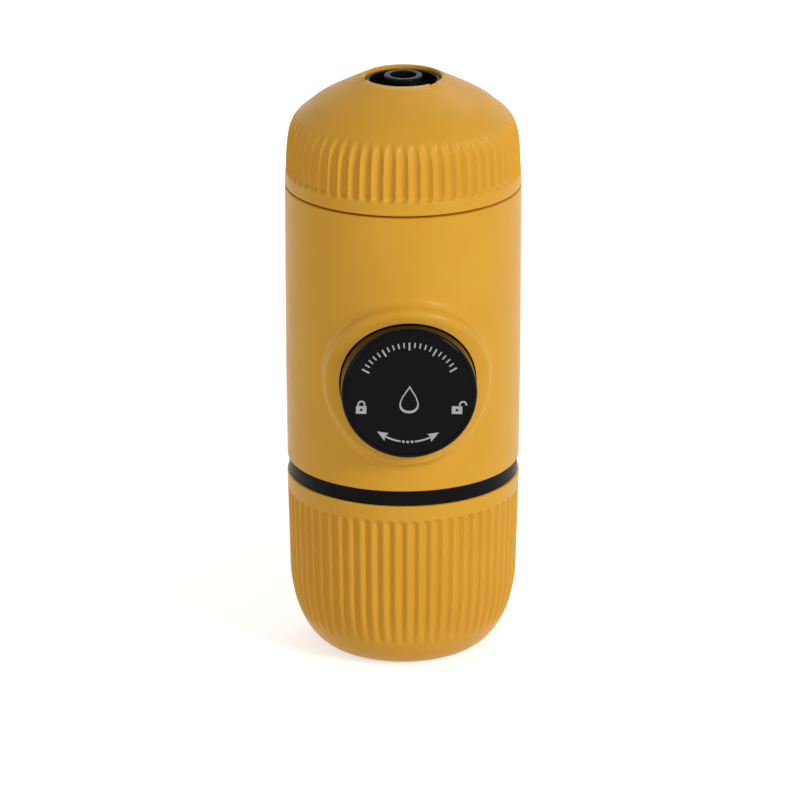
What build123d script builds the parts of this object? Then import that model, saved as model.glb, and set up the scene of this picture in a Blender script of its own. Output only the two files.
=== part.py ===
from build123d import *
import math
import os

# Handheld manual espresso maker, closed for storage and standing on its drinking cup.
# Millimetres, +Z up, origin at the middle of the cup's foot, pump knob towards -Y.
os.makedirs("parts", exist_ok=True)

# ---- Driving sizes: the outside -----------------------------------------------------------
body_radius = 31.0
body_taper = 0.25
body_taper_height = 25.0
cup_height = 48.5
band_height = 4.0
socket_height = 7.9
brew_depth = 24.5
head_height = 29.3
band_inset = 0.65
shell_wall = 2.0
seam_gap = 0.2
edge_round = 0.4

# Drinking cup
cup_mouth_inset = 0.15
cup_flare = 0.65
cup_corner_width = 13.4
cup_corner_height = 21.0
cup_wall = 2.1
cup_floor = 3.2
cup_inner_rise = 0.4

# Flutes of cup and outlet head
flute_count = 60
cup_groove_radius = 0.85
cup_groove_depth = 0.8
cup_groove_bend = 82.0
cup_groove_sweep = 9.0
cup_plain_rim = 4.5
head_flute_radius = 1.5
head_flute_depth = 0.65
head_flute_bend = 27.8
head_flute_sweep = 25.0
head_plain_rim = 3.8

# Outlet head: insets from the body's radius and drops below the top give the dome's curve
dome_drop = 18.5
wall_draft = 0.3
shoulder_drop = 10.5
shoulder_inset = 2.55
crown_drop = 6.5
crown_inset = 7.2
head_wall = 2.4
head_corner_width = 3.0
head_corner_height = 4.6
outlet_hole_radius = 10.0
outlet_rim_round = 0.5
collar_wall = 1.9
collar_depth = 5.5
notch_count = 3
notch_width = 2.6
notch_depth = 0.8
notch_angle = -46.0

# Outlet nozzle and the threaded liner that carries it
spout_radius = 5.0
spout_bore_radius = 3.4
spout_rise = 0.3
nozzle_recess = 4.2
nozzle_thickness = 2.2
nozzle_wall = 1.1
nozzle_rim_drop = 0.9
nozzle_lug_height = 3.0
bridge_width = 0.9
bridge_thickness = 1.0
bridge_root = 0.2
bridge_pin_radius = 0.9
liner_wall = 3.25
liner_web = 2.0
liner_skirt = 3.0

# Water tank
tank_wall = 1.8
tank_floor_height = 9.0
tank_side_gap = 0.8
tank_foot_inset = 1.0
tank_corner_rise = 2.0
tank_draft = 0.4
tank_inner_rise = 0.6
cup_fit_gap = 0.1
cup_fit_height = 8.0
neck_wall = 2.2
socket_wall = 4.55

# Clearances, plates and seals; a threaded neck is turned down to the root of its thread
thread_gap = 0.35
thread_depth = 0.8
thread_lead = 0.7
fit_gap = 0.1
moving_gap = 0.3
ledge_height = 1.2
ledge_width = 1.7
plate_thickness = 2.5
sheet_thickness = 0.6
gasket_thickness = 1.4
gasket_inset = 0.2
tank_gasket_lip = 1.6
head_gasket_lip = 1.0

# Knob and the pad round it
knob_stand = 4.3
knob_radius = 17.6
knob_wall = 1.8
knob_front = 3.0
knob_edge_round = 1.0
knob_depth = 34.0
face_inset = 1.3
face_thickness = 0.45
face_sink = 0.15
knob_hole_gap = 0.3
pad_width = 3.9
pad_height = 3.3
pad_round = 2.4
pad_blend = 3.0

# Pump
pump_stroke = 19.0
pump_bore_radius = 8.5
pump_wall = 2.0
piston_fit = 0.08
piston_length = 8.0
piston_end_gap = 0.5
piston_front_room = 3.5
stem_radius = 5.0
seal_section_radius = 0.9
seal_inset = 2.2
spring_turns = 6
spring_radius = 13.3
spring_wire_radius = 0.8
spring_seat_back = 4.0
spring_seat_rim = 2.1
washer_thickness = 1.0
washer_lip = 2.0

# Twist lock and the guide sleeve
lug_width = 5.0
lug_length = 2.8
lug_height = 1.8
lug_root = 0.5
lock_play = 0.5
guide_wall = 2.4
rail_width = 3.0
rail_height = 8.0
rail_root = 0.6
rail_lap = 4.5

# Valves and passages
valve_offset = 15.0
chimney_radius = 6.5
passage_radius = 2.0
pocket_radius = 4.2
inlet_pocket_depth = 6.0
outlet_pocket_depth = 8.0
poppet_radius = 3.2
poppet_thickness = 1.2
poppet_stem_radius = 1.0
poppet_stem_length = 3.0
valve_spring_radius = 2.3
valve_spring_wire_radius = 0.3
valve_spring_turns = 4
duckbill_flange = 1.4
duckbill_radius = 2.8
duckbill_width = 4.6
duckbill_thickness = 0.9
duckbill_bore_depth = 2.6
duckbill_gap = 0.4
vent_offset = 10.0
vent_radius = 4.0
vent_thickness = 1.0
suction_radius = 2.6
suction_bore_radius = 1.6
suction_end_gap = 4.5
strainer_wall = 0.8
strainer_floor = 1.2
strainer_height = 4.0
strainer_ring_radius = 1.4
strainer_hole_radius = 0.5
strainer_hole_count = 4

# Brew side
brew_neck_wall = 2.4
brew_neck_height = 9.5
brew_ledge_drop = 9.5
brew_seat = 3.3
brew_seat_width = 3.0
brew_seat_gap = 0.2
brew_gasket_width = 2.4
screw_boss_radius = 3.5
basket_wall = 0.8
basket_play = 0.3
basket_height = 22.4
basket_flange_width = 1.1
basket_flange_thickness = 1.2
post_radius = 2.6
post_ring_radius = 17.5
post_angle = 35.0

# Sieves
sieve_rings = 3
screen_pitch = 5.2
screen_hole_radius = 0.8
basket_pitch = 4.4
basket_hole_radius = 0.7

# Fasteners
screw_radius = 1.3
screw_head_radius = 2.3
screw_head_height = 1.5
screw_length = 9.0
short_screw_length = 3.0

# ---- Radii worked out from the sizes above, from the outside inwards ------------------------
body_foot_radius = body_radius - body_taper
band_radius = body_radius - band_inset
cup_mouth_radius = body_radius - cup_mouth_inset
cup_wall_radius = cup_mouth_radius - cup_flare
cup_foot_radius = cup_wall_radius - cup_corner_width
shell_inner = body_radius - shell_wall
ledge_inner = shell_inner - ledge_width
core_radius = shell_inner - fit_gap
neck_radius = core_radius - socket_wall - thread_gap
neck_bore_radius = neck_radius - neck_wall
head_inner = body_radius - head_wall
brew_neck_radius = head_inner - liner_wall - thread_gap
brew_chamber_radius = brew_neck_radius - brew_neck_wall
nozzle_radius = outlet_hole_radius - fit_gap
funnel_radius = nozzle_radius - nozzle_wall
face_radius = knob_radius - face_inset
knob_hole_radius = knob_radius + knob_hole_gap
pad_radius = knob_hole_radius + pad_width
guide_bore = knob_radius + moving_gap
guide_radius = guide_bore + guide_wall

# ---- Heights, from the foot upwards ---------------------------------------------------------
band_z = cup_height
body_z = band_z + band_height
body_low = body_z + seam_gap
socket_top = body_low + socket_height
socket_ceiling = socket_top - plate_thickness
neck_top = socket_ceiling - gasket_thickness
knob_z = socket_top + ledge_height + moving_gap + guide_radius
brew_floor = knob_z + guide_radius + moving_gap
brew_floor_top = brew_floor + plate_thickness
screen_z = brew_floor_top + brew_seat
brew_gasket_z = screen_z + sheet_thickness
basket_z = brew_gasket_z + gasket_thickness
basket_end = basket_z + basket_height
head_z = brew_floor + brew_depth
head_low = head_z + seam_gap
top_z = head_z + head_height
brew_ledge_z = head_z - brew_ledge_drop
brew_neck_top = head_z + brew_neck_height
outlet_screen_z = brew_neck_top + gasket_thickness
liner_web_z = outlet_screen_z + sheet_thickness
liner_web_top = liner_web_z + liner_web
nozzle_z = top_z - nozzle_recess - nozzle_thickness
nozzle_top = nozzle_z + nozzle_thickness
nozzle_rim = top_z - nozzle_rim_drop
suction_end = tank_floor_height + suction_end_gap
valve_seat_z = brew_floor - outlet_pocket_depth

# ---- Reaches of the horizontal pump, forwards from the body's axis ----------------------------
knob_reach = body_radius + pad_height + knob_stand
knob_back = knob_reach - knob_depth
knob_inner_face = knob_reach - knob_front
washer_back = knob_inner_face - washer_thickness
face_back = knob_reach - face_sink - face_thickness
screw_face = face_back - screw_head_height
guide_back = knob_back + lug_length + lock_play
piston_back = piston_end_gap + passage_radius - valve_offset
piston_front = piston_back + piston_length
barrel_front = piston_front + pump_stroke + piston_front_room
barrel_back = -(valve_offset + passage_radius + piston_end_gap)
seat_front = plate_thickness - spring_seat_back
rail_inner = guide_radius - rail_root
rail_outer = rail_inner + rail_width

# The section plane of the pump has x forwards along -Y and y up
pump_axis = Axis((0, 0, knob_z), (0, -1, 0))
pump_section = Plane(origin=(0, 0, knob_z), x_dir=(0, -1, 0), z_dir=(-1, 0, 0))


def pump_plane(reach):
    """The plane across the pump at a distance in front of the body's axis."""
    return Plane(origin=(0, -reach, knob_z), x_dir=(1, 0, 0), z_dir=(0, -1, 0))


def valve_plane(height):
    """The level plane at a height, with its origin on the axis of the valves."""
    return Plane(origin=(0, valve_offset, height))


def vent_plane(height):
    """The level plane at a height, with its origin on the axis of the tank's vent."""
    return Plane(origin=(-vent_offset, -vent_offset, height))


def post_places():
    """The axes of the two posts that join tank socket and brew head."""
    return PolarLocations(
        post_ring_radius, 2, start_angle=post_angle,
        angular_range=180 - 2 * post_angle, endpoint=True,
    )


def rail_places():
    """The middles of the guide's two rails, left and right of the pump."""
    return GridLocations(rail_inner + rail_outer, 0, 2, 1)


def block(low_x, high_x, low_y, high_y, mode=Mode.ADD):
    """A rectangle of a half section, given by its edges."""
    with Locations(((low_x + high_x) / 2, (low_y + high_y) / 2)):
        Rectangle(high_x - low_x, high_y - low_y, mode=mode)


def bowl_outline(foot_radius, wall_radius, mouth_radius, low, corner_height, high):
    """Half section of a bowl with a flat foot, an elliptical corner and a flared wall."""
    corner_z = low + corner_height
    with BuildLine() as outline:
        Line((0, low), (foot_radius, low))
        EllipticalCenterArc(
            (foot_radius, corner_z), wall_radius - foot_radius, corner_height,
            start_angle=270, arc_size=90,
        )
        Line((wall_radius, corner_z), (mouth_radius, high))
        Line((mouth_radius, high), (0, high))
        Line((0, high), (0, low))
    make_face(outline.edges())


def circles_of_radius(builder, radius):
    """The full circles of one radius among a part's edges."""
    return builder.edges().filter_by(
        lambda edge: edge.geom_type == GeomType.CIRCLE and abs(edge.radius - radius) < 0.01
    )


def saddle_edges(builder, nearest, farthest):
    """The curved edges that aren't plain circles, at a distance from the body's axis."""
    def distance(edge):
        middle = edge @ 0.5
        return math.hypot(middle.X, middle.Y)

    return [
        edge for edge in builder.edges()
        if edge.geom_type not in (GeomType.CIRCLE, GeomType.LINE)
        and nearest < distance(edge) < farthest
    ]


def sieve_holes(ring_pitch, hole_radius, mode):
    """Rings of holes, six more in each ring than in the one inside it."""
    Circle(hole_radius, mode=mode)
    for ring in range(1, sieve_rings + 1):
        with PolarLocations(ring * ring_pitch, 6 * ring):
            Circle(hole_radius, mode=mode)


# ---- Drinking cup -----------------------------------------------------------------------------
cup_taper = math.atan2(cup_flare, cup_height - cup_corner_height)
groove_offset = cup_groove_radius - cup_groove_depth
groove_top = (
    cup_mouth_radius - cup_plain_rim * math.tan(cup_taper) + groove_offset,
    cup_height - cup_plain_rim - cup_groove_radius,
)

with BuildPart() as cup_groove:
    with BuildLine(Plane.XZ):
        groove_wall = Line(groove_top, (cup_wall_radius + groove_offset, cup_corner_height))
        JernArc(groove_wall @ 1, groove_wall % 1, cup_groove_bend, -cup_groove_sweep)
    with BuildSketch(Plane(origin=groove_wall @ 0, z_dir=groove_wall % 0)):
        Circle(cup_groove_radius)
    sweep()
    with Locations(groove_wall @ 0):
        Sphere(cup_groove_radius)

with BuildPart() as drinking_cup:
    with BuildSketch(Plane.XZ):
        bowl_outline(
            cup_foot_radius, cup_wall_radius, cup_mouth_radius, 0, cup_corner_height, cup_height
        )
    revolve(axis=Axis.Z)
    fillet(drinking_cup.faces().sort_by(Axis.Z)[-1].edges(), edge_round)
    with BuildSketch(Plane.XZ):
        bowl_outline(
            cup_foot_radius, cup_wall_radius - cup_wall, cup_mouth_radius - cup_wall,
            cup_floor, cup_corner_height - cup_floor + cup_inner_rise, cup_height,
        )
    revolve(axis=Axis.Z, mode=Mode.SUBTRACT)
    with PolarLocations(0, flute_count, start_angle=180 / flute_count - 90):
        add(cup_groove.part, mode=Mode.SUBTRACT)
drinking_cup.part.label = "drinking_cup"
export_step(drinking_cup.part, "parts/drinking_cup.step")

# ---- Water tank: a bowl with the band as its flange and a threaded neck above it -----------------
tank_radius = cup_wall_radius - cup_wall - tank_side_gap
tank_foot_radius = cup_foot_radius - tank_foot_inset
tank_corner_height = cup_corner_height - tank_floor_height + tank_corner_rise
tank_fit_radius = (
    cup_mouth_radius - cup_wall - cup_fit_height * math.tan(cup_taper) - cup_fit_gap
)

with BuildPart() as water_tank:
    with BuildSketch(Plane.XZ):
        bowl_outline(
            tank_foot_radius, tank_radius, tank_radius + tank_draft,
            tank_floor_height, tank_corner_height, band_z,
        )
        block(0, tank_fit_radius, band_z - cup_fit_height, band_z)
        block(0, band_radius, band_z, body_z)
        block(0, neck_radius, body_z, neck_top)
        block(neck_radius - thread_depth, neck_radius,
              body_z + thread_lead, neck_top - thread_lead, Mode.SUBTRACT)
    revolve(axis=Axis.Z)
    with BuildSketch(Plane.XZ):
        bowl_outline(
            tank_foot_radius, tank_radius - tank_wall, tank_radius + tank_draft - tank_wall,
            tank_floor_height + tank_wall,
            tank_corner_height - tank_wall + tank_inner_rise, band_z,
        )
        block(0, neck_bore_radius, band_z, neck_top)
    revolve(axis=Axis.Z, mode=Mode.SUBTRACT)
    chamfer(circles_of_radius(water_tank, band_radius), edge_round / 2)
water_tank.part.label = "water_tank"
export_step(water_tank.part, "parts/water_tank.step")

with BuildPart() as tank_gasket:
    with BuildSketch(Plane.XY.offset(neck_top)):
        Circle(neck_radius - gasket_inset)
        Circle(neck_bore_radius - tank_gasket_lip, mode=Mode.SUBTRACT)
    extrude(amount=gasket_thickness)
tank_gasket.part.label = "tank_gasket"
export_step(tank_gasket.part, "parts/tank_gasket.step")

# ---- Body shell: a tube with two inner ledges and a pad that wraps round it at the knob ---------
pad_reach = body_radius + pad_height
cutter_reach = 3 * body_radius

with BuildPart() as body_shell:
    with BuildSketch(Plane.XZ):
        with BuildLine():
            Polyline(
                (0, body_low),
                (body_foot_radius, body_low),
                (body_radius, body_low + body_taper_height),
                (body_radius, head_z),
                (0, head_z),
                close=True,
            )
        make_face()
    revolve(axis=Axis.Z)
    rim_edges = body_shell.edges().filter_by(GeomType.CIRCLE).sort_by(Axis.Z)
    chamfer([rim_edges[0], rim_edges[-1]], edge_round / 2)
    with BuildSketch(pump_plane(0)):
        Circle(pad_radius)
    extrude(amount=2 * body_radius)
    with BuildSketch(Plane.XY.offset(body_low)):
        Circle(cutter_reach)
        Circle(pad_reach, mode=Mode.SUBTRACT)
    extrude(amount=head_z - body_low, mode=Mode.SUBTRACT)
    fillet(saddle_edges(body_shell, body_radius + pad_height / 2, cutter_reach), pad_round)
    fillet(saddle_edges(body_shell, 0, body_radius + pad_height / 2), pad_blend)
    with BuildSketch(Plane.XZ):
        block(0, shell_inner, body_low, head_z)
        block(ledge_inner, shell_inner, socket_top, socket_top + ledge_height, Mode.SUBTRACT)
        block(ledge_inner, shell_inner, brew_ledge_z - ledge_height, brew_ledge_z,
              Mode.SUBTRACT)
    revolve(axis=Axis.Z, mode=Mode.SUBTRACT)
    with BuildSketch(pump_plane(0)):
        Circle(knob_hole_radius)
    extrude(amount=cutter_reach, mode=Mode.SUBTRACT)
body_shell.part.label = "body_shell"
export_step(body_shell.part, "parts/body_shell.step")

# ---- Tank socket: closes the body below, takes the tank's neck, carries the suction tube ---------
with BuildPart() as tank_socket:
    with BuildSketch(Plane.XZ):
        block(0, core_radius, body_low, socket_top)
        block(0, neck_radius + thread_gap, body_low, socket_ceiling, Mode.SUBTRACT)
    revolve(axis=Axis.Z)
    with BuildSketch(valve_plane(socket_ceiling)):
        Circle(suction_radius)
    with BuildSketch(vent_plane(socket_ceiling)):
        Circle(passage_radius)
    with BuildSketch(Plane.XY.offset(socket_ceiling)):
        with post_places():
            Circle(screw_radius)
    extrude(amount=plate_thickness, mode=Mode.SUBTRACT)
tank_socket.part.label = "tank_socket"
export_step(tank_socket.part, "parts/tank_socket.step")

with BuildPart() as vent_valve:
    with BuildSketch(vent_plane(socket_ceiling - vent_thickness)):
        Circle(vent_radius)
    extrude(amount=vent_thickness)
    with BuildSketch(vent_plane(socket_ceiling)):
        Circle(passage_radius)
    extrude(amount=plate_thickness)
vent_valve.part.label = "vent_valve"
export_step(vent_valve.part, "parts/vent_valve.step")

with BuildPart() as suction_tube:
    with BuildSketch(valve_plane(suction_end)):
        Circle(suction_radius)
        Circle(suction_bore_radius, mode=Mode.SUBTRACT)
    extrude(amount=socket_top - suction_end)
suction_tube.part.label = "suction_tube"
export_step(suction_tube.part, "parts/suction_tube.step")

with BuildPart() as suction_strainer:
    with BuildSketch(valve_plane(suction_end - strainer_floor)):
        Circle(suction_radius + strainer_wall)
    extrude(amount=strainer_height)
    with BuildSketch(valve_plane(suction_end)):
        Circle(suction_radius)
    extrude(amount=strainer_height, mode=Mode.SUBTRACT)
    with BuildSketch(valve_plane(suction_end - strainer_floor)):
        with PolarLocations(strainer_ring_radius, strainer_hole_count):
            Circle(strainer_hole_radius)
    extrude(amount=strainer_floor, mode=Mode.SUBTRACT)
suction_strainer.part.label = "suction_strainer"
export_step(suction_strainer.part, "parts/suction_strainer.step")

# ---- Pump cylinder: a horizontal barrel with the valve chimney across its closed end -------------
with BuildPart() as pump_cylinder:
    with BuildSketch(pump_section):
        block(barrel_back - plate_thickness, barrel_front, 0, pump_bore_radius + pump_wall)
        block(-spring_seat_back, seat_front, 0,
              spring_radius + spring_wire_radius + spring_seat_rim)
    revolve(axis=pump_axis)
    with BuildSketch(pump_plane(-spring_seat_back)):
        Rectangle(2 * rail_outer, rail_height)
    extrude(amount=plate_thickness)
    with BuildSketch(valve_plane(socket_top)):
        Circle(chimney_radius)
    extrude(amount=brew_floor - socket_top)
    with BuildSketch(pump_section):
        block(barrel_back, barrel_front, 0, pump_bore_radius)
    revolve(axis=pump_axis, mode=Mode.SUBTRACT)
    with BuildSketch(valve_plane(socket_top)):
        Circle(passage_radius)
    extrude(amount=brew_floor - socket_top, mode=Mode.SUBTRACT)
    with BuildSketch(valve_plane(socket_top)):
        Circle(pocket_radius)
    extrude(amount=inlet_pocket_depth, mode=Mode.SUBTRACT)
    with BuildSketch(valve_plane(valve_seat_z)):
        Circle(pocket_radius)
    extrude(amount=outlet_pocket_depth, mode=Mode.SUBTRACT)
    with BuildSketch(pump_plane(-spring_seat_back)):
        with rail_places():
            Circle(screw_radius)
    extrude(amount=plate_thickness, mode=Mode.SUBTRACT)
pump_cylinder.part.label = "pump_cylinder"
export_step(pump_cylinder.part, "parts/pump_cylinder.step")

with BuildPart() as inlet_valve:
    with BuildSketch(valve_plane(socket_top)):
        Circle(pocket_radius - fit_gap)
    extrude(amount=duckbill_flange)
    with BuildSketch(valve_plane(socket_top + duckbill_flange)):
        Circle(duckbill_radius)
    with BuildSketch(valve_plane(socket_top + inlet_pocket_depth - duckbill_gap)):
        Rectangle(duckbill_width, duckbill_thickness)
    loft()
    with BuildSketch(valve_plane(socket_top)):
        Circle(suction_bore_radius)
    extrude(amount=duckbill_bore_depth, mode=Mode.SUBTRACT)
inlet_valve.part.label = "inlet_valve"
export_step(inlet_valve.part, "parts/inlet_valve.step")

with BuildPart() as outlet_valve_poppet:
    with BuildSketch(valve_plane(valve_seat_z)):
        Circle(poppet_radius)
    extrude(amount=poppet_thickness)
    with BuildSketch(valve_plane(valve_seat_z + poppet_thickness)):
        Circle(poppet_stem_radius)
    extrude(amount=poppet_stem_length)
outlet_valve_poppet.part.label = "outlet_valve_poppet"
export_step(outlet_valve_poppet.part, "parts/outlet_valve_poppet.step")

valve_spring_low = valve_seat_z + poppet_thickness + valve_spring_wire_radius
valve_spring_height = brew_floor - valve_spring_wire_radius - valve_spring_low
with BuildPart() as outlet_valve_spring:
    with BuildLine() as valve_coil:
        Helix(
            valve_spring_height / valve_spring_turns, valve_spring_height, valve_spring_radius,
            center=(0, valve_offset, valve_spring_low),
        )
    with BuildSketch(Plane(origin=valve_coil.line @ 0, z_dir=valve_coil.line % 0)):
        RegularPolygon(valve_spring_wire_radius, 6)
    sweep(is_frenet=True)
outlet_valve_spring.part.label = "outlet_valve_spring"
export_step(outlet_valve_spring.part, "parts/outlet_valve_spring.step")

# ---- Knob guide: sleeve behind the pad, with the slots of the twist lock --------------------------
with BuildPart() as knob_guide:
    with BuildSketch(pump_plane(guide_back)):
        Circle(guide_radius)
        for side in (1, -1):
            with Locations((0, side * guide_bore)):
                Rectangle(
                    lug_width + 2 * moving_gap, 2 * (lug_height + moving_gap), mode=Mode.SUBTRACT
                )
    extrude(amount=shell_inner)
    with BuildSketch(pump_plane(seat_front)):
        with rail_places():
            Rectangle(rail_width, rail_height)
    extrude(amount=guide_back - seat_front + rail_lap)
    with BuildSketch(pump_plane(guide_back)):
        Circle(guide_bore)
    extrude(amount=shell_inner, mode=Mode.SUBTRACT)
    with BuildSketch(Plane.XY.offset(knob_z - guide_radius - moving_gap)):
        Circle(shell_inner)
    extrude(amount=2 * (guide_radius + moving_gap), mode=Mode.INTERSECT)
    with BuildSketch(pump_plane(seat_front)):
        with rail_places():
            Circle(screw_radius)
    extrude(amount=screw_length - plate_thickness, mode=Mode.SUBTRACT)
knob_guide.part.label = "knob_guide"
export_step(knob_guide.part, "parts/knob_guide.step")

with BuildPart() as guide_screws:
    with BuildSketch(pump_plane(-spring_seat_back - screw_head_height)):
        with rail_places():
            Circle(screw_head_radius)
    extrude(amount=screw_head_height)
    with BuildSketch(pump_plane(-spring_seat_back)):
        with rail_places():
            Circle(screw_radius)
    extrude(amount=screw_length)
guide_screws.part.label = "guide_screws"
export_step(guide_screws.part, "parts/guide_screws.step")

# ---- Piston, seals, return spring and knob --------------------------------------------------------
piston_radius = pump_bore_radius - piston_fit
seal_ring_radius = piston_radius - seal_section_radius
seal_places = (piston_back + seal_inset, piston_front - seal_inset)

with BuildPart() as piston:
    with BuildSketch(pump_section):
        block(piston_back, piston_front, 0, piston_radius)
        block(piston_front, knob_inner_face, 0, stem_radius)
        block(screw_face - screw_length, knob_inner_face, 0, screw_radius, Mode.SUBTRACT)
        for place in seal_places:
            block(place - seal_section_radius, place + seal_section_radius,
                  seal_ring_radius - seal_section_radius, piston_radius, Mode.SUBTRACT)
    revolve(axis=pump_axis)
piston.part.label = "piston"
export_step(piston.part, "parts/piston.step")

with BuildPart() as piston_seals:
    with BuildSketch(pump_section):
        for place in seal_places:
            with Locations((place, seal_ring_radius)):
                Circle(seal_section_radius)
    revolve(axis=pump_axis)
piston_seals.part.label = "piston_seals"
export_step(piston_seals.part, "parts/piston_seals.step")

with BuildPart() as thrust_washer:
    with BuildSketch(pump_section):
        block(washer_back, knob_inner_face, spring_radius - washer_lip,
              knob_radius - knob_wall - moving_gap)
    revolve(axis=pump_axis)
thrust_washer.part.label = "thrust_washer"
export_step(thrust_washer.part, "parts/thrust_washer.step")

spring_length = washer_back - seat_front - 2 * spring_wire_radius
with BuildPart() as return_spring:
    with BuildLine() as coil:
        Helix(
            spring_length / spring_turns, spring_length, spring_radius,
            center=(0, -(seat_front + spring_wire_radius), knob_z), direction=(0, -1, 0),
        )
    with BuildSketch(Plane(origin=coil.line @ 0, z_dir=coil.line % 0)):
        RegularPolygon(spring_wire_radius, 8)
    sweep(is_frenet=True)
return_spring.part.label = "return_spring"
export_step(return_spring.part, "parts/return_spring.step")

with BuildPart() as knob_cap:
    with BuildSketch(pump_section):
        block(knob_back, knob_reach, 0, knob_radius)
        block(knob_back, knob_inner_face, 0, knob_radius - knob_wall, Mode.SUBTRACT)
        block(face_back, knob_reach, 0, face_radius + fit_gap, Mode.SUBTRACT)
        block(screw_face, knob_reach, 0, screw_head_radius + fit_gap, Mode.SUBTRACT)
        block(knob_inner_face, knob_reach, 0, screw_radius, Mode.SUBTRACT)
    revolve(axis=pump_axis)
    fillet(circles_of_radius(knob_cap, knob_radius).sort_by(Axis.Y)[0], knob_edge_round)
    with BuildSketch(pump_plane(knob_back)):
        for side in (1, -1):
            with Locations((0, side * (knob_radius + (lug_height - lug_root) / 2))):
                Rectangle(lug_width, lug_height + lug_root)
    extrude(amount=lug_length)
knob_cap.part.label = "knob_cap"
export_step(knob_cap.part, "parts/knob_cap.step")

with BuildPart() as knob_face:
    with BuildSketch(pump_plane(face_back)):
        Circle(face_radius)
    extrude(amount=face_thickness)
knob_face.part.label = "knob_face"
export_step(knob_face.part, "parts/knob_face.step")

with BuildPart() as knob_screw:
    with BuildSketch(pump_section):
        block(screw_face, screw_face + screw_head_height, 0, screw_head_radius)
        block(screw_face - screw_length, screw_face, 0, screw_radius)
    revolve(axis=pump_axis)
knob_screw.part.label = "knob_screw"
export_step(knob_screw.part, "parts/knob_screw.step")

# ---- Brew head: floor, posts, flange on the shell's ledge, and the threaded neck above it ---------
with BuildPart() as brew_head:
    with BuildSketch(Plane.XZ):
        block(0, brew_neck_radius, brew_floor, brew_neck_top)
        block(brew_neck_radius - thread_depth, brew_neck_radius,
              head_z - liner_skirt + thread_lead, brew_neck_top - thread_lead, Mode.SUBTRACT)
        block(0, core_radius, brew_ledge_z, brew_ledge_z + plate_thickness)
        block(0, brew_chamber_radius, brew_floor_top, brew_neck_top, Mode.SUBTRACT)
        block(brew_chamber_radius - brew_seat_width, brew_chamber_radius,
              brew_floor_top, screen_z)
        block(0, screw_boss_radius, brew_floor_top, screen_z)
    revolve(axis=Axis.Z)
    with BuildSketch(Plane.XY.offset(socket_top)):
        with post_places():
            Circle(post_radius)
    extrude(amount=brew_floor - socket_top)
    with BuildSketch(Plane.XY.offset(socket_top)):
        with post_places():
            Circle(screw_radius)
    extrude(amount=screw_length - plate_thickness, mode=Mode.SUBTRACT)
    with BuildSketch(valve_plane(brew_floor)):
        Circle(suction_bore_radius)
    extrude(amount=plate_thickness, mode=Mode.SUBTRACT)
    with BuildSketch(Plane.XY.offset(screen_z - short_screw_length)):
        Circle(screw_radius)
    extrude(amount=short_screw_length, mode=Mode.SUBTRACT)
brew_head.part.label = "brew_head"
export_step(brew_head.part, "parts/brew_head.step")

with BuildPart() as chassis_screws:
    with BuildSketch(Plane.XY.offset(socket_ceiling - screw_head_height)):
        with post_places():
            Circle(screw_head_radius)
    extrude(amount=screw_head_height)
    with BuildSketch(Plane.XY.offset(socket_ceiling)):
        with post_places():
            Circle(screw_radius)
    extrude(amount=screw_length)
chassis_screws.part.label = "chassis_screws"
export_step(chassis_screws.part, "parts/chassis_screws.step")

brew_seat_radius = brew_chamber_radius - brew_seat_gap
with BuildPart() as shower_screen:
    with BuildSketch(Plane.XY.offset(screen_z)):
        Circle(brew_seat_radius)
        sieve_holes(screen_pitch, screen_hole_radius, Mode.SUBTRACT)
        Circle(screw_radius, mode=Mode.SUBTRACT)
    extrude(amount=sheet_thickness)
shower_screen.part.label = "shower_screen"
export_step(shower_screen.part, "parts/shower_screen.step")

with BuildPart() as shower_screw:
    with BuildSketch(Plane.XZ):
        block(0, screw_radius, screen_z - short_screw_length, brew_gasket_z)
        block(0, screw_head_radius, brew_gasket_z, brew_gasket_z + screw_head_height)
    revolve(axis=Axis.Z)
shower_screw.part.label = "shower_screw"
export_step(shower_screw.part, "parts/shower_screw.step")

with BuildPart() as brew_gasket:
    with BuildSketch(Plane.XZ):
        block(brew_seat_radius - brew_gasket_width, brew_seat_radius, brew_gasket_z, basket_z)
    revolve(axis=Axis.Z)
brew_gasket.part.label = "brew_gasket"
export_step(brew_gasket.part, "parts/brew_gasket.step")

# ---- Filter basket, upside down in the brew chamber -------------------------------------------------
basket_flange_radius = brew_chamber_radius - basket_play
basket_radius = basket_flange_radius - basket_flange_width
basket_floor_z = basket_end - basket_wall

with BuildPart() as filter_basket:
    with BuildSketch(Plane.XZ):
        block(0, basket_radius, basket_z, basket_end)
        block(0, basket_flange_radius, basket_z, basket_z + basket_flange_thickness)
        block(0, basket_radius - basket_wall, basket_z, basket_floor_z, Mode.SUBTRACT)
    revolve(axis=Axis.Z)
    with BuildSketch(Plane.XY.offset(basket_floor_z)):
        sieve_holes(basket_pitch, basket_hole_radius, Mode.ADD)
    extrude(amount=basket_wall, mode=Mode.SUBTRACT)
filter_basket.part.label = "filter_basket"
export_step(filter_basket.part, "parts/filter_basket.step")

# ---- Outlet head ----------------------------------------------------------------------------------
with BuildPart() as head_gasket:
    with BuildSketch(Plane.XZ):
        block(brew_chamber_radius - head_gasket_lip, brew_neck_radius,
              brew_neck_top, outlet_screen_z)
    revolve(axis=Axis.Z)
head_gasket.part.label = "head_gasket"
export_step(head_gasket.part, "parts/head_gasket.step")

with BuildPart() as outlet_screen:
    with BuildSketch(Plane.XY.offset(outlet_screen_z)):
        Circle(brew_neck_radius)
        sieve_holes(screen_pitch, screen_hole_radius, Mode.SUBTRACT)
    extrude(amount=sheet_thickness)
outlet_screen.part.label = "outlet_screen"
export_step(outlet_screen.part, "parts/outlet_screen.step")

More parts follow.
